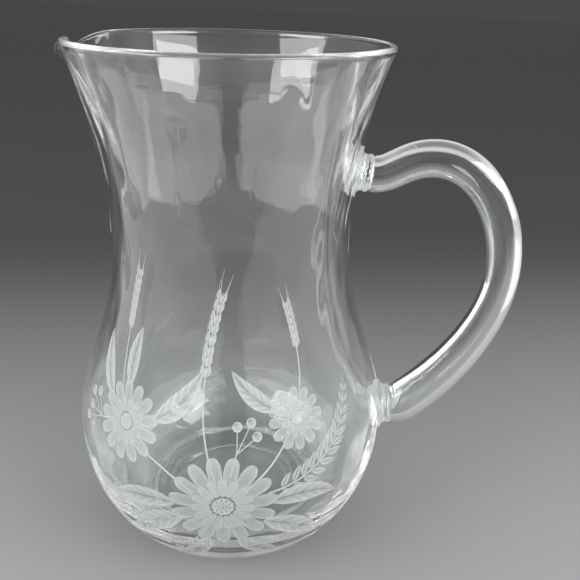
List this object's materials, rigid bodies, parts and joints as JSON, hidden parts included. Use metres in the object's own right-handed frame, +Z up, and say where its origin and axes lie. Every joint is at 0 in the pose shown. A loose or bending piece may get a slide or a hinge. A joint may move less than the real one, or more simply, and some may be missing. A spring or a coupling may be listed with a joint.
{
  "type": "pitcher",
  "caption": "Clear glass pitcher with a round belly, drawn-in waist, flared mouth, pouring lip and a solid rod handle, for serving drinks.",
  "frame": {"origin": "middle of the flat base, on the surface that the pitcher stands on", "axes": "+Z up along the axis of the body, +X towards the handle, -X towards the pouring lip"},
  "size_m": [0.2019, 0.1478, 0.23],
  "materials": {
    "body_glass": "polished, with a frosted ornament on the belly",
    "handle_glass": "polished",
    "weld_glass": "polished, with pinch marks"
  },
  "bodies": {
    "root": {"body": "body_glass", "handle": "handle_glass", "upper_weld_pad": "weld_glass", "upper_weld_collar": "weld_glass", "lower_weld_pad": "weld_glass", "lower_weld_collar": "weld_glass"}
  },
  "joints": []
}
